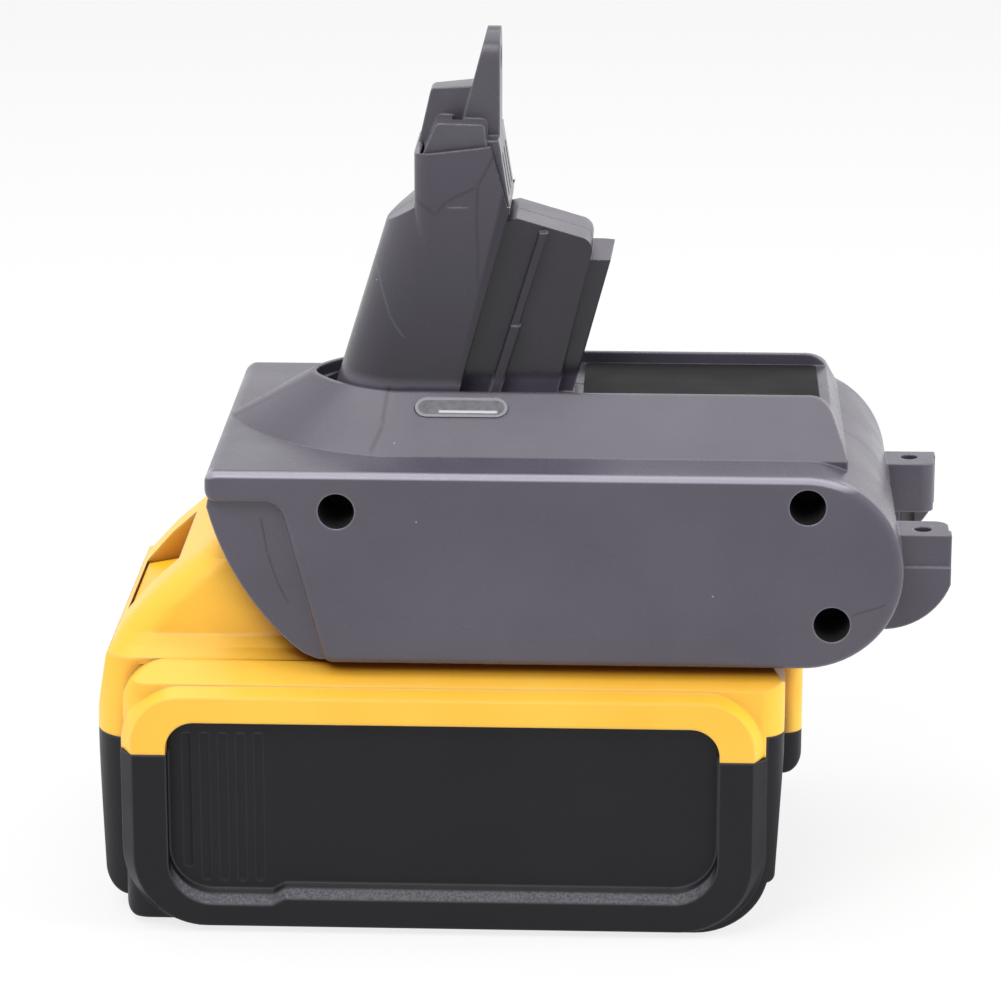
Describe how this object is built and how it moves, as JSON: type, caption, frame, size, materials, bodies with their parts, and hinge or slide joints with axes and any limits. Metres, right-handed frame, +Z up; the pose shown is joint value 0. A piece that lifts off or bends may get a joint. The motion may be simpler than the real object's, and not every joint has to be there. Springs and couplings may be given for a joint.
{
  "type": "vacuum cleaner battery adapter with tool battery pack",
  "caption": "Cordless vacuum power unit: a grey adapter with a leaning terminal post, clipped onto a yellow and black slide-in battery pack with a release button.",
  "frame": {"origin": "centre of the bounding box in x and y, at the pack's flat bottom", "axes": "+X along the pack towards its terminal end and the adapter's ears, +Y across, +Z up along the post"},
  "size_m": [0.1355, 0.076, 0.139],
  "materials": {
    "adapter_grey": "satin, fine mould grain",
    "carrier_grey": "satin",
    "label_black": "smooth film, bare",
    "lens_clear": "frosted",
    "pack_yellow": "satin",
    "pack_black": "fine grain",
    "window_dark": "smoked",
    "board_green": "solder mask",
    "chip_black": "moulded",
    "can_metal": "sleeved can",
    "ferrite": "sintered",
    "lamp_white": "clear dome",
    "contact_metal": "plated",
    "strip_nickel": "rolled",
    "screw_steel": "blackened",
    "spring_steel": "drawn wire",
    "holder_white": "plain",
    "cell_wrap": "shrink film",
    "lead_red": "insulation",
    "lead_black": "insulation",
    "insulator_black": "glass filled"
  },
  "bodies": {
    "adapter": {"housing_near_half": "adapter_grey", "housing_far_half": "adapter_grey", "housing_screws": "screw_steel", "terminal_carrier": "carrier_grey", "vacuum_contacts": "contact_metal", "indicator_lens": "lens_clear", "indicator_board": "board_green", "indicator_leds": "lamp_white", "converter_board": "board_green", "capacitors": "can_metal", "inductor": "ferrite", "power_transistors": "chip_black", "positive_lead": "lead_red", "negative_lead": "lead_black", "blade_holder": "insulator_black", "pack_blades": "contact_metal", "label_plate": "label_black"},
    "pack": {"pack_lower_housing": "pack_black", "pack_upper_housing": "pack_yellow", "release_spring": "spring_steel", "spring_plate": "insulator_black", "cells": "cell_wrap", "cell_holder_near": "holder_white", "cell_holder_far": "holder_white", "nickel_strips": "strip_nickel", "pack_board": "board_green", "terminal_block": "insulator_black", "terminal_clips": "contact_metal", "pack_chips": "chip_black", "gauge_window": "window_dark", "gauge_board": "board_green", "gauge_leds": "lamp_white", "gauge_switch": "chip_black", "pack_screws": "screw_steel"},
    "button": {"release_button": "pack_yellow"},
    "gauge": {"gauge_button": "pack_black"}
  },
  "joints": [
    {"name": "pack_slide", "type": "slide", "parent": "adapter", "child": "pack", "axis": [-1, 0, 0], "range_m": [0, 0.115]},
    {"name": "release_press", "type": "slide", "parent": "pack", "child": "button", "axis": [0, 0, -1], "range_m": [0, 0.004], "stiffness_N_per_m": 1000, "springref_m": -0.005, "deforming": ["release_spring"]},
    {"name": "gauge_press", "type": "slide", "parent": "pack", "child": "gauge", "axis": [1, 0, 0], "range_m": [0, 0.0008], "stiffness_N_per_m": 1500, "springref_m": -0.0004}
  ]
}
